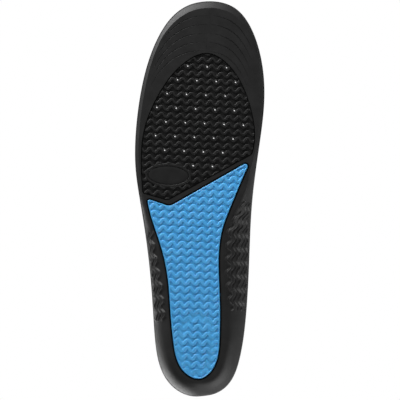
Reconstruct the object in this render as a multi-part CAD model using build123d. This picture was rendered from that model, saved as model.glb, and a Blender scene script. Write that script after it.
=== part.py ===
from build123d import *
import math
import os

# A right-foot cushioned insole, lying as it does in a shoe: the underside on z = 0, the toe towards +Y,
# the big-toe side towards -X and the foot side up. The origin is on the floor, at the middle of the length.
# A moulded foam body carries a fabric cover. Its underside holds a ribbed, vented forefoot pad and a gel
# insert that runs from the arch to the heel, each bonded into a pocket. Sizes are in millimetres.

# Overall sizes
length = 297.0
ball_width = 97.0
heel_width = 66.8

# The patterns below are drawn at these sizes, and graded to the ones above.
pattern_length = 297.0
pattern_ball = 97.0
pattern_heel = 66.8

# Layers
cover_thickness = 0.9
film_thickness = 0.2
pad_thickness = 2.4
insert_thickness = 3.0
fit_gap = 0.8  # round the pad and the insert, in their pockets

# Vents, set out on the pitch of the pad's ribs, row by row from the toe
vent_radius = 0.45
vent_pitch = 14.54
vent_row_pitch = 10.64
vent_turn = 2.5  # degrees, anticlockwise seen from above
vent_start = (9.0, 99.9)
# For each row, how many half pitches along it starts, and its count
vent_rows = [(0, 3), (-1, 4), (-2, 4), (-3, 5), (-2, 5), (-3, 5), (-2, 4), (1, 2)]

# Oval plate on the pad, outlined by a groove
plate_centre = (23.6, 17.8)
plate_half_length = 14.8
plate_half_width = 7.1
plate_groove_width = 0.6
plate_groove_depth = 0.8

# Heel cushion, a dome inside a moat in the insert
dome_centre = (2.6, -109.5)
dome_half_width = 9.9
dome_half_length = 19.0
moat_width = 4.4
moat_depth = 1.0

# Trim guides, grooves one shoe size apart that repeat the toe's curve
trim_first = 11.0
trim_step = 6.67
trim_count = 5
trim_turn = 9.0  # degrees that the row of guides leans from the length
trim_groove_width = 0.5
trim_groove_depth = 0.3
trim_mark_gap = 2.4
trim_reach = 26.0  # how far a guide runs back from its crest on each side
trim_pad_margin = 2.0

# The footbed's floor is a plane that falls from heel to toe. Round it a dish climbs to the edge.
floor_at_heel = 6.6
floor_at_toe = 3.8

# Sizes round the edge, as (share of the length from the heel, size), for each side
medial_rise = [(0.0, 12.5), (0.16, 12.5), (0.40, 17.0), (0.64, 0.0), (1.0, 0.0)]
lateral_rise = [(0.0, 12.5), (0.16, 12.5), (0.38, 8.5), (0.56, 0.0), (1.0, 0.0)]
medial_dish = [(0.0, 19.0), (0.12, 19.0), (0.40, 30.0), (0.64, 14.0), (1.0, 12.0)]
lateral_dish = [(0.0, 19.0), (0.12, 19.0), (0.40, 15.0), (0.56, 12.0), (1.0, 12.0)]
medial_flank = [
    (0.0, 11.5), (0.12, 12.0), (0.33, 20.0), (0.42, 20.0), (0.54, 5.0), (0.62, 2.0), (0.9, 2.0), (1.0, 4.5),
]
lateral_flank = [
    (0.0, 11.5), (0.12, 12.0), (0.26, 11.0), (0.40, 8.0), (0.49, 3.0), (0.60, 2.0), (0.9, 2.0), (1.0, 4.5),
]
edge_wall = [(0.0, 4.0), (0.45, 4.0), (0.62, 2.6), (0.9, 2.2), (1.0, 1.2)]

# How closely the curved surfaces are followed
outline_stations = 58
flank_steps = 7
dish_steps = 7
inlay_stations = 24
cutter_height = 60.0
under_floor = 1.0  # how far the cutting solids start below the underside

# Outline, from the back of the heel up the lateral side, round the toe and down the medial side
outline_pattern = [
    (0.2, -148.5), (15.9, -144.6), (25.2, -135.6), (30.6, -123.6), (33.2, -110.0), (34.8, -90.0),
    (37.7, -51.6), (44.4, -3.6), (48.3, 25.0), (48.3, 45.0), (45.2, 74.4), (38.2, 104.4), (30.7, 122.4),
    (22.9, 134.4), (11.6, 144.0), (-7.3, 148.5), (-25.6, 144.0), (-35.1, 134.4), (-41.2, 122.4),
    (-46.3, 104.4), (-48.5, 76.0), (-45.1, 43.0), (-39.6, 0.0), (-37.3, -45.0), (-34.6, -90.0),
    (-31.8, -111.6), (-29.1, -123.6), (-24.3, -135.6), (-15.6, -144.6),
]
toe_tip = (-7.3, 148.5)

# Forefoot pad: the curve round its front, then the tip its two straight edges run to
pad_curve = [
    (42.3, 5.0), (43.3, 21.9), (43.2, 36.9), (41.1, 51.9), (28.7, 81.2), (11.8, 101.4), (-5.4, 108.9),
    (-25.7, 94.9), (-34.2, 78.9), (-39.2, 61.7), (-40.7, 50.4), (-38.6, 33.9),
]
pad_tip = (24.1, -0.2)
pad_corners = [2.0, 3.0, 5.0]  # radii, lateral, medial and tip

# Gel insert: the curve down its sides and round the heel, then the notch its two straight edges run to
insert_curve = [
    (-38.8, 29.6), (-31.7, 14.4), (-24.2, -3.6), (-17.4, -21.6), (-14.4, -42.6), (-14.8, -63.6),
    (-15.4, -84.6), (-15.0, -105.6), (-8.1, -129.6), (1.4, -134.9), (11.8, -129.6), (20.1, -105.6),
    (21.9, -87.6), (23.1, -69.6), (25.3, -51.6), (29.8, -33.6), (35.8, -15.6), (39.6, 0.6),
]
insert_notch = (22.5, -5.2)
insert_corners = [2.0, 1.6, 7.0]  # radii, medial horn, lateral horn and notch


def ease(share):
    """A smooth step from 0 to 1."""
    held = min(max(share, 0.0), 1.0)
    return held * held * (3 - 2 * held)


def along(knots, y):
    """The size listed for this place along the length, eased from one entry to the next."""
    share = y / length + 0.5
    for (start, low), (end, high) in zip(knots, knots[1:]):
        if share <= end:
            return low + (high - low) * ease((share - start) / (end - start))
    return knots[-1][1]


def graded(x, y):
    """A point of a pattern, moved to where it lies on this insole."""
    to_ball = ease((y / pattern_length + 0.3) / 0.4)
    drawn = pattern_heel + (pattern_ball - pattern_heel) * to_ball
    wanted = heel_width + (ball_width - heel_width) * to_ball
    return Vector(x * wanted / drawn, y * length / pattern_length)


def either_side(medial, lateral, spot):
    return along(medial if spot.X < 0 else lateral, spot.Y)


def outline():
    return Edge.make_spline([graded(x, y) for x, y in outline_pattern], periodic=True)


def right_of(direction):
    """Out of a shape whose edge runs anticlockwise, seen from above, in this direction."""
    return Vector(direction.Y, -direction.X).normalized()


def outward(edge, share):
    return right_of(edge % share)


def floor_height(y):
    share = y / length + 0.5
    return floor_at_heel + (floor_at_toe - floor_at_heel) * share


def ring(place):
    """A closed curve round the insole, through the point that place gives at each station."""
    edge = outline()
    spots = []
    for station in range(outline_stations):
        share = station / outline_stations
        spots.append(place(edge @ share, outward(edge, share)))
    return Wire([Edge.make_spline(spots, periodic=True)])


def underside_ring(climbed):
    """The flank at this share of its width: it curves up from the flat underside to the edge."""

    def place(spot, out):
        rise = either_side(medial_rise, lateral_rise, spot)
        rim = floor_height(spot.Y) + rise - along(edge_wall, spot.Y)
        inset = either_side(medial_flank, lateral_flank, spot) * (1 - climbed)
        return spot - out * inset + Vector(0, 0, rim * climbed * climbed)

    return ring(place)


def footbed_ring(climbed, thickness):
    """The dish at this share of its width, raised by a layer measured square to the surface."""

    def place(spot, out):
        rise = either_side(medial_rise, lateral_rise, spot)
        dish = either_side(medial_dish, lateral_dish, spot)
        steep = math.hypot(1, 2 * rise * climbed / dish)
        inner = spot - out * dish * (1 - climbed)
        return inner + Vector(0, 0, floor_height(inner.Y) + rise * climbed * climbed + thickness * steep)

    return ring(place)


def shares(steps):
    return [step / steps for step in range(steps + 1)]


def footbed_rings(thickness):
    """From the footbed's floor up its dish to the edge."""
    return [footbed_ring(share, thickness) for share in shares(dish_steps)]


def layer(low, high):
    """A skin over the footbed, between two distances from the foam."""
    return Solid.make_loft(footbed_rings(low) + footbed_rings(high)[::-1], True)


def moulded_body():
    underside = [underside_ring(share) for share in shares(flank_steps)]
    return Solid.make_loft(underside + footbed_rings(0)[::-1], True)


def mitred(spot, first_out, second_out, gap):
    """A corner moved out by a gap from both of its edges."""
    return spot + (first_out + second_out) * (gap / (1 + first_out.dot(second_out)))


def inlay(curve, corner, radii, gap):
    """A flat shape with one curved side and two straight edges that meet at a corner, grown by a gap."""
    side = Edge.make_spline([graded(x, y) for x, y in curve])
    start, end, meeting = side @ 0, side @ 1, graded(*corner)
    coming, going = right_of(meeting - end), right_of(start - meeting)
    grown_start = mitred(start, going, outward(side, 0), gap)
    grown_end = mitred(end, outward(side, 1), coming, gap)
    grown_meeting = mitred(meeting, coming, going, gap)
    between = [step / inlay_stations for step in range(1, inlay_stations)]
    spots = [side @ share + outward(side, share) * gap for share in between]
    grown_side = Edge.make_spline([grown_start, *spots, grown_end])
    into = Edge.make_line(grown_end, grown_meeting)
    back = Edge.make_line(grown_meeting, grown_start)
    face = Face(Wire([grown_side, into, back]))
    for spot, radius in zip([grown_start, grown_end, grown_meeting], radii):
        face = face.fillet_2d(radius, [face.vertices().sort_by_distance(spot)[0]])
    return face


def pad_shape(gap=0.0):
    return inlay(pad_curve, pad_tip, [radius + gap for radius in pad_corners], gap)


def insert_shape(gap=0.0):
    medial_horn, lateral_horn, notch = insert_corners
    return inlay(insert_curve, insert_notch, [medial_horn + gap, lateral_horn + gap, notch - gap], gap)


def slab(face, low, high):
    return Solid.extrude(face.moved(Location((0, 0, low))), (0, 0, high - low))


def vents():
    turn = math.radians(vent_turn)
    step = Vector(-math.cos(turn), -math.sin(turn)) * vent_pitch
    row_step = Vector(math.sin(turn), -math.cos(turn)) * vent_row_pitch
    drills = []
    for row, (first, count) in enumerate(vent_rows):
        for column in range(count):
            spot = Vector(*vent_start) + row_step * row + step * (first / 2 + column)
            start = graded(spot.X, spot.Y) - Vector(0, 0, under_floor)
            drills.append(Solid.make_cylinder(vent_radius, cutter_height, Plane(start)))
    return drills


def oval(centre, half_x, half_y, turn):
    middle = graded(*centre)
    shape = Face(Wire([Edge.make_ellipse(half_x, half_y, Plane(middle, z_dir=(0, 0, 1)))]))
    return shape.rotate(Axis(middle, (0, 0, 1)), turn)


def oval_groove(centre, half_x, half_y, width, depth, turn=0.0):
    outer = slab(oval(centre, half_x + width, half_y + width, turn), -under_floor, depth)
    return outer - slab(oval(centre, half_x, half_y, turn), -under_floor, depth)


def trim_guides():
    turn = math.radians(trim_turn)
    back = Vector(math.sin(turn), -math.cos(turn))
    whole = Face(Wire([outline()]))
    field = slab(pad_shape(trim_pad_margin), -cutter_height, cutter_height)
    toe = Vector(graded(*toe_tip))
    mark = Pos(toe + back * length / 2) * Rot(0, 0, trim_turn) * Box(trim_mark_gap, length, cutter_height)
    guides = []
    for index in range(trim_count):
        shift = back * (trim_first + trim_step * index)
        near_crest = Pos(toe + shift) * Box(ball_width * 2, trim_reach * 2, cutter_height)
        next_shift = shift + back * trim_groove_width
        front = slab(whole.moved(Location(shift)), -under_floor, trim_groove_depth)
        behind = slab(whole.moved(Location(next_shift)), -under_floor, trim_groove_depth)
        guides.append(((front - behind) & near_crest) - field - mark)
    return guides


def top_cover():
    return layer(film_thickness, film_thickness + cover_thickness) - vents()


def cover_bond_film():
    return layer(0, film_thickness) - vents()


def foam_body():
    body = moulded_body()
    body -= slab(pad_shape(fit_gap), -under_floor, pad_thickness + film_thickness)
    body -= slab(insert_shape(fit_gap), -under_floor, insert_thickness + film_thickness)
    body -= trim_guides()
    return body - vents()


def forefoot_pad():
    body = slab(pad_shape(), 0, pad_thickness)
    body -= oval_groove(
        plate_centre, plate_half_length, plate_half_width, plate_groove_width, plate_groove_depth, vent_turn
    )
    return body - vents()


def pad_bond_film():
    return slab(pad_shape(), pad_thickness, pad_thickness + film_thickness) - vents()


def gel_insert():
    body = slab(insert_shape(), 0, insert_thickness)
    return body - oval_groove(dome_centre, dome_half_width, dome_half_length, moat_width, moat_depth)


def insert_bond_film():
    return slab(insert_shape(), insert_thickness, insert_thickness + film_thickness)


def main():
    os.makedirs("parts", exist_ok=True)
    export_step(top_cover(), "parts/top_cover.step")
    export_step(cover_bond_film(), "parts/cover_bond_film.step")
    export_step(foam_body(), "parts/foam_body.step")
    export_step(forefoot_pad(), "parts/forefoot_pad.step")
    export_step(pad_bond_film(), "parts/pad_bond_film.step")
    export_step(gel_insert(), "parts/gel_insert.step")
    export_step(insert_bond_film(), "parts/insert_bond_film.step")


main()
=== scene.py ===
import math

import bmesh
import bpy
import numpy as np
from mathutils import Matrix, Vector


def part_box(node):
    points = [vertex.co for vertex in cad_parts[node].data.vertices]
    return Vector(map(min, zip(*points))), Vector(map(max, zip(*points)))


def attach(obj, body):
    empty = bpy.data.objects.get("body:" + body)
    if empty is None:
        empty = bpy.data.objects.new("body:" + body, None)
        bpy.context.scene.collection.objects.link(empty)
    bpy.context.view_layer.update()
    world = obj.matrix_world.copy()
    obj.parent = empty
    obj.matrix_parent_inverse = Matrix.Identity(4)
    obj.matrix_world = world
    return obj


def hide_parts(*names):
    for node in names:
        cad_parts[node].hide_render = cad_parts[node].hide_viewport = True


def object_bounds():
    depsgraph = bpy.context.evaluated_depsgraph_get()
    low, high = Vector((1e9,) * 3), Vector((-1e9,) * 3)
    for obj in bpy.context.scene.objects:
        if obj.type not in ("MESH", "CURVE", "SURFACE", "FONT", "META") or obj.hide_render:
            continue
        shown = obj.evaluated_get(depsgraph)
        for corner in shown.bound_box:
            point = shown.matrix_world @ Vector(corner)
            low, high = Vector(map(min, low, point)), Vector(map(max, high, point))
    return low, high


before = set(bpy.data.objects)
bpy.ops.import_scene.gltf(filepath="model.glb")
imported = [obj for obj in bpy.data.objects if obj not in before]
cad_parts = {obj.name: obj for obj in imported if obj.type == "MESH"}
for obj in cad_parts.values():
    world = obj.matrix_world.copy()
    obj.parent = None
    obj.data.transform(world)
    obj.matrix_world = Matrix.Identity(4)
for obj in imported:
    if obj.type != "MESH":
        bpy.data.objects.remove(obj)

cad_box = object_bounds()
low_corner, high_corner = cad_box
mm = 0.001

# Ribs of the forefoot pad and of the gel: rows of waves, in step with each other
pattern_turn = math.radians(2.5)
pad_ribs = {
    "wave": 7.27 * mm, "pitch": 5.32 * mm, "swing": 1.28 * mm, "width": 1.95 * mm, "depth": 1.1 * mm,
}
gel_ribs = {
    "wave": 7.30 * mm, "pitch": 5.60 * mm, "swing": 1.35 * mm, "width": 2.50 * mm, "depth": 0.5 * mm,
}
wave_roundness = 0.36  # 0 is a plain sine, and more makes the crests rounder and the slopes steeper
pad_reach = (70 * mm, 64 * mm)  # half the ribbed sheet's size across and down, before it is cut out
gel_reach = (56 * mm, 92 * mm)
gel_crest = (1.4 * mm, -96.2 * mm)  # where one of the gel's ribs has a crest, on its middle line
vent_to_rib = 1.6 * mm  # from the first vent down to the crests of the rib beside it

# Vents, the same as in the CAD solids, and the collars round them on the pad
vent_radius = 0.45 * mm
collar_radius = 1.5 * mm
drill_span = (-5 * mm, 30 * mm)  # from well below the underside to well above the cover

# Oval plate on the pad
plate_centre = (23.6 * mm, 17.9 * mm)
plate_half_length = 15.2 * mm
plate_half_width = 6.9 * mm
plate_rim = 1.9 * mm
plate_groove = 0.5 * mm

# Heel cushion of the gel
dome_centre = (2.6 * mm, -109.5 * mm)
dome_half_width = 9.9 * mm
dome_half_length = 19.0 * mm
moat_width = 6.2 * mm
moat_depth = 0.3 * mm

# Outlines and rays
edge_step = 0.65 * mm  # between points along the insole's edge
cut_step = 0.8 * mm  # between points of the outlines that are cut along
side_rays, end_rays = 220, 120  # along each side, and round the heel and the toe
ray_start = 0.1  # metres, which is outside the insole whichever way a ray comes
heel_spot, toe_spot = -0.08, 0.12  # metres along the insole, where the footbed is level

# Foam body
flank_rows = 80
pad_pocket_gap = 0.8 * mm
insert_pocket_gap = 1.0 * mm
cover_overhang = 0.6 * mm  # how far the cover's edge stands out past the foam
rib_run = 10.2 * mm  # one zigzag of the flank ribs, along the insole
rib_pitch = 10.0 * mm  # from one flank rib to the next, up the flank
rib_start = 4.6 * mm  # from the flank's inner edge to the first rib
rib_swing = 1.9 * mm
rib_height = 0.75 * mm
rib_width = 1.9 * mm
rib_groove_depth = 0.6 * mm
rib_groove_width = 1.6 * mm
medial_panel = (-84.6 * mm, -1.5 * mm)  # where the ribs start and end along each flank
lateral_panel = (-92.0 * mm, -24.6 * mm)

# Trim guides
trim_first = 11.0 * mm
trim_step = 6.67 * mm
trim_count = 5
trim_turn = math.radians(9.0)
trim_width = 0.7 * mm
trim_depth = 0.42 * mm
trim_reach = 26 * mm  # how far a guide runs back from its crest on each side
trim_break = 1.2 * mm  # half the gap in each guide, at the middle line
trim_pad_clear = 1.6 * mm
trim_edge_clear = 4.0 * mm
middle_start = np.array([-8.8 * mm, 148.5 * mm])  # the middle line's start at the toe
middle_turn = math.radians(6.5)
middle_marks = [(8.5 * mm, 16.5 * mm), (27.5 * mm, 36.5 * mm)]


# Selecting and finishing, as by hand


def select_only(piece):
    bpy.ops.object.select_all(action="DESELECT")
    piece.select_set(True)
    bpy.context.view_layer.objects.active = piece


def new_piece(name, mesh_maker):
    """A piece whose mesh is made by mesh_maker(bm), in the frame."""
    mesh = bpy.data.meshes.new(name)
    bm = bmesh.new()
    mesh_maker(bm)
    bmesh.ops.recalc_face_normals(bm, faces=bm.faces)
    bm.to_mesh(mesh)
    bm.free()
    piece = bpy.data.objects.new(name, mesh)
    bpy.context.collection.objects.link(piece)
    return piece


def apply_boolean(piece, cutter, operation):
    select_only(piece)
    modifier = piece.modifiers.new("cut", "BOOLEAN")
    modifier.object = cutter
    modifier.operation = operation
    modifier.solver = "EXACT"
    bpy.ops.object.modifier_apply(modifier=modifier.name)
    bpy.data.objects.remove(cutter)
    if not piece.data.polygons:
        raise RuntimeError(f"nothing is left of {piece.name}")


def smooth_shading(piece, angle):
    select_only(piece)
    bpy.ops.object.shade_smooth_by_angle(angle=math.radians(angle))


# Closed outlines, as rows of points


def around(points, shift):
    return np.roll(points, shift, axis=0)


def evenly(points, step):
    """The same closed line, with its points this far apart."""
    closed = np.vstack([points, points[:1]])
    run = np.concatenate([[0], np.cumsum(np.linalg.norm(np.diff(closed, axis=0), axis=1))])
    places = np.linspace(0, run[-1], int(run[-1] / step), endpoint=False)
    return np.column_stack([np.interp(places, run, closed[:, k]) for k in range(closed.shape[1])])


def softened(values, reach):
    """Closed values, each averaged with its neighbours out to this many places."""
    weights = np.hanning(2 * reach + 3)[1:-1]
    weights /= weights.sum()
    shifts = range(-reach, reach + 1)
    return sum(weight * around(values, shift) for weight, shift in zip(weights, shifts))


def outward_of(points):
    """Unit directions out of an anticlockwise outline."""
    run = around(points, -1) - around(points, 1)
    out = np.column_stack([run[:, 1], -run[:, 0]])
    return out / np.linalg.norm(out, axis=1, keepdims=True)


def flat_loops(node):
    """The outlines of a flat CAD node's underside: the outer one first, then its holes.
    Each starts at its point furthest towards the toe, so that they come out the same every time."""
    bm = bmesh.new()
    bm.from_mesh(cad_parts[node].data)
    bmesh.ops.remove_doubles(bm, verts=bm.verts, dist=1e-6)
    floor = min(vert.co.z for vert in bm.verts) + 1e-6
    under = {face for face in bm.faces if all(vert.co.z < floor for vert in face.verts)}
    edges = {edge for face in under for edge in face.edges}
    rim = {edge for edge in edges if sum(face in under for face in edge.link_faces) == 1}
    loops = []
    while rim:
        edge = rim.pop()
        loop = list(edge.verts)
        while following := [e for e in loop[-1].link_edges if e in rim]:
            rim.discard(following[0])
            loop.append(following[0].other_vert(loop[-1]))
        loops.append(np.array([vert.co.xy for vert in loop[:-1]]))
    bm.free()
    loops = [loop if signed_area(loop) > 0 else loop[::-1] for loop in loops]
    starts = [int(np.lexsort((loop[:, 0], loop[:, 1]))[-1]) for loop in loops]
    loops = [around(loop, -start) for loop, start in zip(loops, starts)]
    return sorted(loops, key=lambda loop: (-round(signed_area(loop), 9), *loop[0]))


def signed_area(points):
    following = around(points, -1)
    return float(np.sum(points[:, 0] * following[:, 1] - following[:, 0] * points[:, 1])) / 2


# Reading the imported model


def outline_and_walls(node):
    """The node's outline seen from above, with the bottom and top of its edge wall at each place.
    Rays come in from outside at many heights, and the wall is where they are stopped furthest out."""
    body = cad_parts[node]
    half_heel, half_ball = 31 * mm, 44 * mm
    heel_end = Vector((0, low_corner.y + half_heel, 0))
    toe_end = Vector((-3 * mm, high_corner.y - half_ball, 0))
    rays = [(heel_end.lerp(toe_end, step / side_rays), 0.0) for step in range(side_rays)]
    rays += [(toe_end, math.pi * step / end_rays) for step in range(end_rays)]
    rays += [(toe_end.lerp(heel_end, step / side_rays), math.pi) for step in range(side_rays)]
    rays += [(heel_end, math.pi * (1 + step / end_rays)) for step in range(end_rays)]
    heights = np.arange(0.2 * mm, high_corner.z, 0.3 * mm)
    found = []
    for spot, angle in rays:
        way = Vector((math.cos(angle), math.sin(angle), 0))
        met = []
        for height in heights:
            start = spot + way * ray_start + Vector((0, 0, height))
            hit, place, _, _ = body.ray_cast(start, -way)
            met.append((place - spot).dot(way) if hit else 0)
        far = max(met)
        wall = [height for height, reach in zip(heights, met) if reach > far - 0.15 * mm]
        edge = spot + way * far
        found.append((edge.x, edge.y, wall[0], wall[-1]))
    return softened(evenly(softened(np.array(found), 2), edge_step), 4)


def top_at(node, y):
    """How high the node's top face is, on the line x = 0."""
    _, place, _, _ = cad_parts[node].ray_cast(Vector((0, y, ray_start)), Vector((0, 0, -1)))
    return place.z


def dish_widths(points, out):
    """How far in from the edge the footbed's dish ends and its level floor begins."""
    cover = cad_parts["top_cover"]
    widths = []
    for (x, y), (out_x, out_y) in zip(points, out):
        width = 2 * mm
        for inset in np.arange(2 * mm, 32 * mm, 1 * mm):
            start = Vector((x - out_x * inset, y - out_y * inset, ray_start))
            _, _, normal, _ = cover.ray_cast(start, Vector((0, 0, -1)))
            if normal.z < 0.9995:
                width = inset + 1 * mm
        widths.append(width)
    return softened(np.array(widths), 12)


def nearest_distance(points, loop):
    gaps = np.linalg.norm(points[:, None, :] - loop[None, :, :], axis=2)
    return gaps.min(axis=1)


edge = outline_and_walls("foam_body")
edge_line = edge[:, :2]
edge_out = outward_of(edge_line)
rim_low, rim_high = edge[:, 2], edge[:, 3]
flat_underside = evenly(flat_loops("foam_body")[0], 0.5 * mm)
flank = softened(nearest_distance(edge_line, flat_underside), 6)
dish = dish_widths(edge_line, edge_out)
floor_heel = top_at("foam_body", heel_spot)
floor_toe = top_at("foam_body", toe_spot)


def floor_height(y):
    return floor_heel + (floor_toe - floor_heel) * (y - heel_spot) / (toe_spot - heel_spot)


rise = np.maximum(rim_high - floor_height(edge_line[:, 1]), 0)
film = top_at("cover_bond_film", 0) - top_at("foam_body", 0)
cover_thickness = top_at("top_cover", 0) - top_at("cover_bond_film", 0)
pad_outline, *pad_vents = flat_loops("pad_bond_film")
vent_spots = [vent.mean(axis=0) for vent in pad_vents]
insert_outline = flat_loops("insert_bond_film")[0]
pad_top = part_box("forefoot_pad")[1].z
insert_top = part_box("gel_insert")[1].z


# Building solids from rings, prisms and drills


def add_ring(bm, points, heights):
    heights = np.broadcast_to(heights, len(points))
    return [bm.verts.new((x, y, z)) for (x, y), z in zip(points, heights)]


def join_rings(bm, rings):
    for lower, upper in zip(rings, rings[1:]):
        for i in range(len(lower)):
            bm.faces.new((lower[i - 1], lower[i], upper[i], upper[i - 1]))


def closed_solid(bm, rings):
    """A solid with these rings one after the other, and a flat face over the first and the last."""
    join_rings(bm, rings)
    bm.faces.new(rings[0])
    bm.faces.new(rings[-1])


def add_prism(bm, outline, low, high):
    closed_solid(bm, [add_ring(bm, outline, low), add_ring(bm, outline, high)])


def prism(name, outline, low, high):
    """A straight-sided solid to cut with."""
    return new_piece(name, lambda bm: add_prism(bm, outline, low, high))


def circle(centre, radius, count):
    turns = np.linspace(0, 2 * math.pi, count, endpoint=False)
    return np.array(centre) + radius * np.column_stack([np.cos(turns), np.sin(turns)])


def drills():
    """One rod through every vent, to cut with."""

    def make(bm):
        for spot in vent_spots:
            add_prism(bm, circle(spot, vent_radius, 16), *drill_span)

    return new_piece("drills", make)


def grown(outline, gap):
    return outline + outward_of(outline) * gap


# Foam body


def flank_power(y):
    """The flank is a curve in the heel and arch, and a plain bevel round the forefoot."""
    return 2.0 - 0.95 * smooth_step(y, -10 * mm, 40 * mm)


def smooth_step(values, start, end):
    share = np.clip((values - start) / (end - start), 0, 1)
    return share * share * (3 - 2 * share)


def flank_relief(y, inset, climbed, medial):
    """How far the flank panels stand out: zigzag ribs along the insole, and a groove between two ribs."""
    first = np.where(medial, medial_panel[0], lateral_panel[0])
    last = np.where(medial, medial_panel[1], lateral_panel[1])
    ends = smooth_step(y, first, first + 1.5 * mm) * (1 - smooth_step(y, last - 1.5 * mm, last))
    sides = smooth_step(inset, 1.0 * mm, 1.8 * mm)
    sides = sides * (1 - smooth_step(inset, flank - 2.2 * mm, flank - 1.2 * mm))
    place = (climbed - rib_start - rib_swing * np.cos(2 * math.pi * y / rib_run)) / rib_pitch
    from_rib = np.abs(place - np.round(place)) * rib_pitch
    from_groove = rib_pitch / 2 - from_rib
    rib = 1 - smooth_step(from_rib, 0.2 * rib_width, 0.65 * rib_width)
    groove = 1 - smooth_step(from_groove, 0.15 * rib_groove_width, 0.65 * rib_groove_width)
    return ends * sides * (rib_height * rib - rib_groove_depth * groove)


def foam_shell(bm):
    y = edge_line[:, 1]
    medial = edge_line[:, 0] < 0
    power = flank_power(y)
    wall_line = edge_line - edge_out * cover_overhang
    inner = edge_line - edge_out * (flank + cover_overhang + 0.2 * mm)[:, None]
    rings = [add_ring(bm, inner, 0)]
    climbed = np.zeros(len(y))
    for step in range(flank_rows):
        share = step / flank_rows
        inset = flank * (1 - share) + cover_overhang
        height = rim_low * share**power
        steep = power * rim_low * share ** (power - 1) / flank
        relief = flank_relief(y, inset, climbed, medial) / np.hypot(1, steep)
        line = edge_line + edge_out * (relief * steep - inset)[:, None]
        rings.append(add_ring(bm, line, np.maximum(height - relief, 0)))
        climbed = climbed + flank / flank_rows * np.hypot(1, steep)
    rings.append(add_ring(bm, wall_line - edge_out * (0.12 * mm), rim_low))
    rings.append(add_ring(bm, wall_line, rim_low + 0.2 * mm))
    for share in (1.0, 0.85, 0.7, 0.55, 0.4, 0.25, 0.1, 0.0):
        line = edge_line - edge_out * (dish * (1 - share) + cover_overhang)[:, None]
        rings.append(add_ring(bm, line, floor_height(line[:, 1]) + rise * share * share - 0.01 * mm))
    closed_solid(bm, rings)


def beyond(points, loop):
    """How far each point lies outside a closed outline, and less than nothing inside it."""
    out = outward_of(loop)
    near = np.linalg.norm(points[:, None, :] - loop[None, :, :], axis=2).argmin(axis=1)
    return np.sum((points - loop[near]) * out[near], axis=1)


def trim_cutter():
    """Thin wedges that repeat the toe's curve, one shoe size apart, with a gap at the middle mark."""
    back = np.array([math.sin(trim_turn), -math.cos(trim_turn)])
    middle_way = np.array([math.sin(middle_turn), -math.cos(middle_turn)])
    middle_side = np.array([-middle_way[1], middle_way[0]])
    pad_loop = evenly(pad_outline, cut_step)

    def make(bm):
        for index in range(trim_count):
            line = edge_line + back * (trim_first + trim_step * index)
            start = int(np.abs(line[:, 1] - 0.09).argmin())
            line = around(line, -start)
            out = outward_of(line)
            sideways = (line - middle_start) @ middle_side
            behind = line[:, 1].max() - line[:, 1]
            clear = (behind < trim_reach) & (np.abs(sideways) > trim_break)
            clear &= beyond(line, pad_loop) > trim_pad_clear
            clear &= beyond(line, edge_line) < -trim_edge_clear
            for part in np.split(np.arange(len(line)), np.flatnonzero(np.diff(clear)) + 1):
                if clear[part[0]] and len(part) > 5:
                    add_wedge(bm, line[part], out[part])
        for start, end in middle_marks:
            line = middle_start + np.linspace(start, end, 9)[:, None] * middle_way
            add_wedge(bm, line, np.tile(middle_side, (9, 1)))

    return new_piece("trim_cutter", make)


def add_wedge(bm, line, out):
    """A three-sided rod along a line, edge up, that thins towards its ends."""
    ends = np.minimum(np.arange(len(line)), np.arange(len(line))[::-1])
    size = (0.3 + 0.7 * smooth_step(ends * edge_step, 0, 16 * mm))[:, None]
    left = line - out * size * trim_width * 0.6
    right = line + out * size * trim_width * 0.6
    rows = [
        [bm.verts.new((*left[i], -0.07 * mm)), bm.verts.new((*right[i], -0.07 * mm)),
         bm.verts.new((*line[i], trim_depth * float(size[i, 0])))]
        for i in range(len(line))
    ]
    for before, after in zip(rows, rows[1:]):
        for k in range(3):
            bm.faces.new((before[k - 1], before[k], after[k], after[k - 1]))
    bm.faces.new(rows[0])
    bm.faces.new(rows[-1])


def make_foam_body():
    body = new_piece("moulded_foam_body", foam_shell)
    pad_pocket = grown(evenly(pad_outline, cut_step), pad_pocket_gap)
    insert_pocket = grown(evenly(insert_outline, cut_step), insert_pocket_gap)
    apply_boolean(body, prism("pad_pocket", pad_pocket, -2 * mm, pad_top + film), "DIFFERENCE")
    apply_boolean(body, prism("insert_pocket", insert_pocket, -2 * mm, insert_top + film), "DIFFERENCE")
    apply_boolean(body, trim_cutter(), "DIFFERENCE")
    apply_boolean(body, drills(), "DIFFERENCE")
    smooth_shading(body, 35)
    return body


# Ribbed sheets for the pad and the gel

# A rib's section: how far aside, as a share of half its width, and how far sunk, as a share of its depth
rib_section = [
    (-1.0, 1.0), (-0.93, 0.5), (-0.82, 0.12), (-0.6, 0.0), (0.0, 0.0),
    (0.6, 0.0), (0.82, 0.12), (0.93, 0.5), (1.0, 1.0),
]
across_way = np.array([-math.cos(pattern_turn), -math.sin(pattern_turn)])
down_way = np.array([math.sin(pattern_turn), -math.cos(pattern_turn)])


def ribbed_points(ribs, centre, reach):
    """The sheet's points, row by row, and how deep each lies between the ribs."""
    across = np.arange(-reach[0], reach[0], ribs["wave"] / 20)
    count = int(reach[1] / ribs["pitch"])
    edges = [rib_edge(ribs, across, side * ribs["width"] / 2) for side, _ in rib_section]
    rows, depths = [], []
    for row in range(-count, count + 1):
        for edge_shape, (_, sunk) in zip(edges, rib_section):
            down = row * ribs["pitch"] + edge_shape
            rows.append(centre + across[:, None] * across_way + down[:, None] * down_way)
            depths.append(np.full(len(across), sunk * ribs["depth"]))
    return np.array(rows), np.array(depths)


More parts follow.
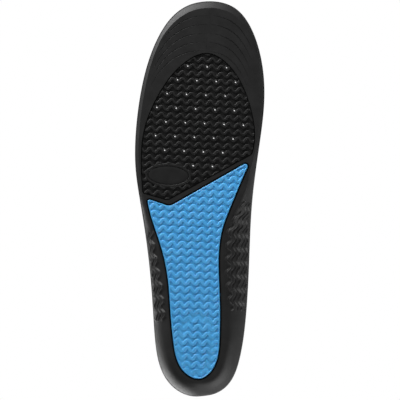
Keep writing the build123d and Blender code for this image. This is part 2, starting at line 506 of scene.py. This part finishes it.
def rib_edge(ribs, across, aside):
    """A line that follows the rib's wave at this distance from its middle, as heights over across."""
    turn = 2 * math.pi / ribs["wave"]
    place = np.arange(across[0] - ribs["wave"], across[-1] + ribs["wave"], ribs["wave"] / 60)
    middle = place + wave_roundness / (2 * turn) * np.sin(2 * turn * place)
    down = ribs["swing"] * np.cos(turn * place)
    run = 1 + wave_roundness * np.cos(2 * turn * place)
    fall = -ribs["swing"] * turn * np.sin(turn * place)
    size = np.hypot(run, fall)
    return np.interp(across, middle - aside * fall / size, down + aside * run / size)


def ribbed_slab(name, ribs, centre, reach, top, reshape):
    """A slab with wavy ribs underneath. reshape(places, depths) works in what breaks up the ribs."""
    places, depths = ribbed_points(ribs, centre, reach)
    depths = reshape(places, depths)
    high, wide = depths.shape

    def make(bm):
        grid = [
            [bm.verts.new((*places[i, j], depths[i, j])) for j in range(wide)]
            for i in range(high)
        ]
        for before, after in zip(grid, grid[1:]):
            for j in range(1, wide):
                bm.faces.new((before[j - 1], before[j], after[j], after[j - 1]))
        border = grid[0] + [row[-1] for row in grid[1:-1]]
        border += grid[-1][::-1] + [row[0] for row in grid[-2:0:-1]]
        lid = [bm.verts.new((*vert.co.xy, top)) for vert in border]
        join_rings(bm, [border, lid])
        bm.faces.new(lid)

    return new_piece(name, make)


def oval_distance(places, centre, half_length, half_width):
    """Roughly how far each place lies outside an oval whose length runs along the ribs."""
    offset = places - np.array(centre)
    along, square = offset @ across_way, offset @ down_way
    ratio = np.hypot(along / half_length, square / half_width)
    steep = np.hypot(along / half_length**2, square / half_width**2) / np.maximum(ratio, 1e-6)
    return (ratio - 1) / np.maximum(steep, 1e-6)


# Forefoot pad


def clear_the_plate(places, depths):
    inside = oval_distance(places, plate_centre, plate_half_length, plate_half_width) < plate_rim * 0.7
    return np.where(inside, pad_ribs["depth"], depths)


def oval_ring(grow, count=96):
    turns = np.linspace(0, 2 * math.pi, count, endpoint=False)
    along, square = np.cos(turns), np.sin(turns)
    half_length, half_width = plate_half_length + grow, plate_half_width + grow
    return (
        np.array(plate_centre)
        + (along * half_length)[:, None] * across_way
        + (square * half_width)[:, None] * down_way
    )


def add_plate(bm):
    """The oval plate: a raised rim with a fine groove inside it, and the plate within."""
    floor = pad_ribs["depth"] + 0.3 * mm
    sections = [
        (plate_rim + 0.35 * mm, floor), (plate_rim + 0.25 * mm, 0.5 * mm), (plate_rim, 0.1 * mm),
        (plate_rim - 0.3 * mm, 0.0), (plate_groove, 0.0), (plate_groove * 0.6, 0.12 * mm),
        (plate_groove * 0.2, 0.6 * mm), (-plate_groove * 0.2, 0.6 * mm), (-plate_groove * 0.7, 0.1 * mm),
        (-1.0 * mm, 0.0), (-3.0 * mm, 0.0),
    ]
    rings = [add_ring(bm, oval_ring(grow), height) for grow, height in sections]
    join_rings(bm, rings)
    bm.faces.new(rings[-1])
    bm.faces.new(rings[0])


def add_collars(bm):
    """The raised ring round each vent, joined to the rib beside it."""
    sections = [
        (collar_radius + 0.15 * mm, pad_ribs["depth"] + 0.2 * mm), (collar_radius + 0.05 * mm, 0.5 * mm),
        (collar_radius - 0.2 * mm, 0.16 * mm), (1.1 * mm, 0.08 * mm), (0.8 * mm, 0.25 * mm),
        (vent_radius, 0.6 * mm), (vent_radius, pad_ribs["depth"] + 0.2 * mm),
    ]
    for spot in vent_spots:
        rings = [add_ring(bm, circle(spot, radius, 24), height) for radius, height in sections]
        join_rings(bm, rings + rings[:1])


def join_pieces(name, pieces):
    bpy.ops.object.select_all(action="DESELECT")
    for piece in pieces:
        piece.select_set(True)
    bpy.context.view_layer.objects.active = pieces[0]
    bpy.ops.object.join()
    pieces[0].name = name
    return pieces[0]


def make_forefoot_pad():
    first_vent = max(vent_spots, key=lambda spot: spot[1])
    start = first_vent + down_way * (vent_to_rib - pad_ribs["swing"])
    middle = (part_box("forefoot_pad")[0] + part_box("forefoot_pad")[1]) / 2
    steps = round(float((np.array(middle.xy) - start) @ down_way) / pad_ribs["pitch"])
    centre = start + down_way * steps * pad_ribs["pitch"]
    slab = ribbed_slab("ribbed_pad", pad_ribs, centre, pad_reach, pad_top, clear_the_plate)
    rim = prism("pad_edge", evenly(pad_outline, cut_step), -1 * mm, pad_top + 1 * mm)
    apply_boolean(slab, rim, "INTERSECT")
    apply_boolean(slab, drills(), "DIFFERENCE")
    plate = new_piece("plate", add_plate)
    collars = new_piece("collars", add_collars)
    pad = join_pieces("ribbed_forefoot_pad", [slab, plate, collars])
    smooth_shading(pad, 50)
    return pad


# Gel insert


def sink_the_moat(places, depths):
    """The moat round the heel cushion is shallow, and the ribs are faint in it."""
    out = oval_distance(places, dome_centre, dome_half_width, dome_half_length)
    ring = smooth_step(out, -0.8 * mm, 1.0 * mm)
    ring = ring * (1 - smooth_step(out, moat_width - 2.0 * mm, moat_width))
    return depths * (1 - 0.7 * ring) + moat_depth * ring


def add_bead(bm):
    """The smooth rounded lip round the insert's edge, down its whole wall."""
    outline = evenly(insert_outline, cut_step)
    sections = [
        (1.25, 0.9), (1.15, 0.35), (1.0, 0.08), (0.8, 0.0), (0.55, 0.08),
        (0.35, 0.3), (0.2, 0.65), (0.08, 1.1), (0.0, 1.6),
    ]
    rings = [add_ring(bm, grown(outline, -inset * mm), height * mm) for inset, height in sections]
    rings.append(add_ring(bm, outline, insert_top))
    rings.append(add_ring(bm, grown(outline, -1.25 * mm), insert_top))
    join_rings(bm, rings + rings[:1])


def make_gel_insert():
    low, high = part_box("gel_insert")
    crest = np.array(gel_crest) + across_way * gel_ribs["wave"] / 2
    rows_up = round(float((low.y + high.y) / 2 - crest[1]) / gel_ribs["pitch"])
    centre = crest - down_way * rows_up * gel_ribs["pitch"]
    slab = ribbed_slab("ribbed_gel", gel_ribs, centre, gel_reach, insert_top, sink_the_moat)
    core = grown(evenly(insert_outline, cut_step), -0.7 * mm)
    apply_boolean(slab, prism("gel_edge", core, -1 * mm, insert_top + 1 * mm), "INTERSECT")
    gel = join_pieces("blue_gel_insert", [slab, new_piece("bead", add_bead)])
    smooth_shading(gel, 50)
    return gel


# Top cover


def cover_shell(bm):
    low_lift, high_lift = film, film + cover_thickness
    shares = (0.0, 0.03, 0.1, 0.2, 0.3, 0.4, 0.5, 0.6, 0.7, 0.8, 0.9, 1.0)

    def section(share, lift, inset):
        steep = np.hypot(1, 2 * rise * share / dish)
        line = edge_line - edge_out * (dish * (1 - share) + inset)[:, None]
        return add_ring(bm, line, floor_height(line[:, 1]) + rise * share * share + lift * steep)

    rings = [section(share, low_lift, 0) for share in shares]
    rings.append(section(1.0, high_lift - 0.35 * mm, -0.05 * mm))
    rings.append(section(1.0, high_lift - 0.1 * mm, 0.08 * mm))
    rings += [section(share, high_lift, 0.3 * mm) for share in shares[::-1]]
    closed_solid(bm, rings)


def make_top_cover():
    cover = new_piece("knit_top_cover", cover_shell)
    apply_boolean(cover, drills(), "DIFFERENCE")
    smooth_shading(cover, 40)
    return cover


# Materials


def shade(hex_colour):
    """An sRGB hex colour as linear red, green, blue and alpha."""
    parts = [int(hex_colour[i : i + 2], 16) / 255 for i in (1, 3, 5)]
    return (*[c / 12.92 if c <= 0.04045 else ((c + 0.055) / 1.055) ** 2.4 for c in parts], 1.0)


def add_node(material, kind, settings=(), **inputs):
    """Adds a node. Settings go on the node, and each input takes a value or another node's output.
    An input is named as in Blender, with _ for a space, or _ and its number."""
    node = material.node_tree.nodes.new(kind)
    for name, value in dict(settings).items():
        setattr(node, name, value)
    for name, value in inputs.items():
        numbered = name[1:].isdigit()
        socket = node.inputs[int(name[1:]) if numbered else name.replace("_", " ")]
        if isinstance(value, bpy.types.NodeSocket):
            material.node_tree.links.new(value, socket)
        else:
            socket.default_value = value
    return node


def new_material(name):
    material = bpy.data.materials.new(name)
    material.use_nodes = True
    material.node_tree.nodes.clear()
    return material


def finish_material(material, colour, normal, **surface):
    """The surface shader and the output, fed with the colour and the bump."""
    skin = add_node(material, "ShaderNodeBsdfPrincipled", Base_Color=colour, Normal=normal, **surface)
    add_node(material, "ShaderNodeOutputMaterial", Surface=skin.outputs[0])
    return material


def mix_of(material, factor, first, second):
    """Two colours mixed by a factor from 0 to 1."""
    mixed = add_node(material, "ShaderNodeMix", {"data_type": "RGBA"}, _0=factor, _6=first, _7=second)
    return mixed.outputs[2]


def stretched(material, value, low, high, to_low=0.0, to_high=1.0):
    """A value between low and high, as one between to_low and to_high."""
    spread = {"From_Min": low, "From_Max": high, "To_Min": to_low, "To_Max": to_high}
    return add_node(material, "ShaderNodeMapRange", Value=value, **spread).outputs[0]


def noise(material, place, size, detail):
    """Soft random patches of about this size."""
    cloud = add_node(material, "ShaderNodeTexNoise", Vector=place, Scale=1 / size, Detail=detail)
    return cloud.outputs[0]


def threads(material, place, axis, spacing):
    """Yarns side by side across an axis, a little uneven."""
    wave = add_node(
        material, "ShaderNodeTexWave", {"bands_direction": axis},
        Vector=place, Scale=1 / (6.3 * spacing), Distortion=1.2, Detail=1.0,
    )
    return wave.outputs[1]


def added(material, first, share, second):
    """A share of the first value, and all of the second."""
    kind = {"operation": "MULTIPLY_ADD"}
    return add_node(material, "ShaderNodeMath", kind, _0=first, _1=share, _2=second).outputs[0]


def bumped(material, height, strength, depth):
    relief = add_node(material, "ShaderNodeBump", Strength=strength, Distance=depth, Height=height)
    return relief.outputs[0]


def moulded_foam(name, dark, light, roughness):
    """Closed-cell EVA moulded in a satin tool: charcoal, with a very fine pebble and faint mottling."""
    material = new_material(name)
    place = add_node(material, "ShaderNodeTexCoord").outputs["Object"]
    mottle = noise(material, place, 9 * mm, 3.0)
    pebble = noise(material, place, 0.55 * mm, 2.0)
    speck = add_node(material, "ShaderNodeTexVoronoi", Vector=place, Scale=1 / (0.9 * mm)).outputs[0]
    patchy = stretched(material, mottle, 0.35, 0.65)
    grain = stretched(material, pebble, 0.3, 0.7)
    tone = stretched(material, added(material, grain, 0.45, patchy), 0.0, 1.45)
    colour = mix_of(material, tone, shade(dark), shade(light))
    bump = bumped(material, added(material, speck, 0.5, pebble), 0.28, 0.12 * mm)
    return finish_material(material, colour, bump, Roughness=roughness, Specular_IOR_Level=0.25)


def moulded_gel():
    """TPE gel moulded with a satin skin: sky blue, paler on the ribs, with painted shade that deepens the
    blue between them.
    """
    material = new_material("moulded_blue_tpe_gel")
    place = add_node(material, "ShaderNodeTexCoord").outputs["Object"]
    depth = add_node(material, "ShaderNodeSeparateXYZ", Vector=place).outputs[2]
    # Painted shade: the blue darkens towards #3294d2 the deeper the gel lies between the ribs.
    between = stretched(material, depth, 0.2 * mm, 0.7 * mm, 0.0, 0.55)
    cloudy = stretched(material, noise(material, place, 14 * mm, 2.0), 0.3, 0.7)
    top = mix_of(material, cloudy, shade("#4eace9"), shade("#57b3f0"))
    colour = mix_of(material, between, top, shade("#3294d2"))
    bump = bumped(material, noise(material, place, 0.8 * mm, 2.0), 0.12, 0.1 * mm)
    return finish_material(
        material, colour, bump, Roughness=0.38, IOR=1.47, Subsurface_Weight=0.1,
        Subsurface_Scale=1.0 * mm, Coat_Weight=0.15, Coat_Roughness=0.25,
    )


def knit_polyester():
    """Brushed polyester knit: near-black yarn in fine wales and courses, with a slight fuzz."""
    material = new_material("charcoal_polyester_knit")
    place = add_node(material, "ShaderNodeTexCoord").outputs["Object"]
    wales = threads(material, place, "X", 1.1 * mm)
    courses = threads(material, place, "Y", 0.9 * mm)
    loops = add_node(material, "ShaderNodeMath", {"operation": "MULTIPLY"}, _0=wales, _1=courses).outputs[0]
    fuzz = noise(material, place, 0.4 * mm, 3.0)
    worn = stretched(material, noise(material, place, 22 * mm, 3.0), 0.35, 0.65, 0.0, 0.35)
    yarn = mix_of(material, loops, shade("#151619"), shade("#33353a"))
    colour = mix_of(material, worn, yarn, shade("#2b2c30"))
    bump = bumped(material, added(material, fuzz, 0.5, loops), 0.5, 0.15 * mm)
    return finish_material(
        material, colour, bump, Roughness=0.9, IOR=1.45, Sheen_Weight=0.06, Sheen_Roughness=0.5
    )


def adhesive_film():
    """Hot-melt adhesive pressed to a film: a dark clouded skin that shows only as a line at the edge."""
    material = new_material("hot_melt_adhesive_film")
    place = add_node(material, "ShaderNodeTexCoord").outputs["Object"]
    cloud = noise(material, place, 3 * mm, 3.0)
    colour = mix_of(material, cloud, shade("#1e1e1d"), shade("#2b2a28"))
    bump = bumped(material, cloud, 0.2, 0.05 * mm)
    return finish_material(material, colour, bump, Roughness=0.55, IOR=1.5)


def pale_floor():
    """A matt laminate table, clear from below so that the underside can be seen through it."""
    material = new_material("pale_table")
    top = add_node(material, "ShaderNodeBsdfDiffuse", Color=shade("#f2f2f0"))
    clear = add_node(material, "ShaderNodeBsdfTransparent")
    behind = add_node(material, "ShaderNodeNewGeometry").outputs["Backfacing"]
    both = add_node(material, "ShaderNodeMixShader", _0=behind, _1=top.outputs[0], _2=clear.outputs[0])
    add_node(material, "ShaderNodeOutputMaterial", Surface=both.outputs[0])
    return material


def dress(piece, material):
    piece.data.materials.clear()
    piece.data.materials.append(material)


def dress_node(node, material):
    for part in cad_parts[node].material_slots:
        part.material = material


# Room, lights and camera


def add_floor():
    bpy.ops.object.select_all(action="DESELECT")
    bpy.ops.mesh.primitive_plane_add(size=3.0, location=(0, 0, -0.02 * mm))
    floor = bpy.context.object
    floor.name = "floor"
    for unseen in ("visible_diffuse", "visible_glossy", "visible_transmission", "visible_shadow"):
        setattr(floor, unseen, False)
    dress(floor, pale_floor())


def add_world():
    world = bpy.data.worlds.new("studio")
    bpy.context.scene.world = world
    world.use_nodes = True
    world.node_tree.nodes.clear()
    seen = add_node(world, "ShaderNodeLightPath").outputs["Is Camera Ray"]
    backdrop = add_node(world, "ShaderNodeBackground", Color=(1, 1, 1, 1), Strength=1.0)
    fill = add_node(world, "ShaderNodeBackground", Color=(1, 1, 1, 1), Strength=0.2)
    both = add_node(world, "ShaderNodeMixShader", _0=seen, _1=fill.outputs[0], _2=backdrop.outputs[0])
    add_node(world, "ShaderNodeOutputWorld", Surface=both.outputs[0])


def add_light(name, place, size, watts):
    """A square soft light that points at the middle of the object."""
    lamp = bpy.data.lights.new(name, "AREA")
    lamp.size = size
    lamp.energy = watts
    light = bpy.data.objects.new(name, lamp)
    bpy.context.collection.objects.link(light)
    light.location = place
    light.rotation_euler = (-Vector(place)).to_track_quat("-Z", "Y").to_euler()


def add_camera():
    """A long lens straight under the insole, with the toe at the top of the frame."""
    camera = bpy.data.objects.new("camera", bpy.data.cameras.new("camera"))
    bpy.context.collection.objects.link(camera)
    camera.data.lens = 500
    camera.data.sensor_width = 36
    length = high_corner.y - low_corner.y
    distance = length / 0.9910 * camera.data.lens / camera.data.sensor_width
    camera.location = (-0.19 * mm, -0.6 * mm, -distance)
    camera.rotation_euler = (math.pi, 0, math.pi)
    bpy.context.scene.camera = camera
    bpy.context.scene.view_settings.view_transform = "Standard"


# Making the object


foam_body = make_foam_body()
forefoot_pad = make_forefoot_pad()
gel_insert = make_gel_insert()
top_cover = make_top_cover()

body_material = moulded_foam("moulded_charcoal_eva", "#1e1e1e", "#272727", 0.5)
pad_material = moulded_foam("moulded_ribbed_eva", "#191919", "#222222", 0.5)
film_material = adhesive_film()
dress(foam_body, body_material)
dress(forefoot_pad, pad_material)
dress(gel_insert, moulded_gel())
dress(top_cover, knit_polyester())

for piece, node, slot in (
    (foam_body, "foam_body", "body_foam"),
    (forefoot_pad, "forefoot_pad", "pad_foam"),
    (gel_insert, "gel_insert", "blue_gel"),
    (top_cover, "top_cover", "cover_fabric"),
):
    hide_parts(node)
    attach(piece, "root")

for node in ("cover_bond_film", "pad_bond_film", "insert_bond_film"):
    dress_node(node, film_material)

add_floor()
add_world()
add_light("toe_light", (0.3, 0.85, -0.18), 0.5, 12)
add_light("lateral_light", (0.68, 0.72, -0.12), 0.5, 11)
add_light("medial_light", (-0.58, -0.78, -0.06), 1.0, 11)
add_light("heel_light", (0.0, -0.9, -0.1), 0.9, 1)
add_light("overhead_light", (0.4, -0.5, 0.9), 0.8, 14)
add_light("overhead_fill", (-0.6, 0.5, 0.7), 0.8, 7)
add_camera()
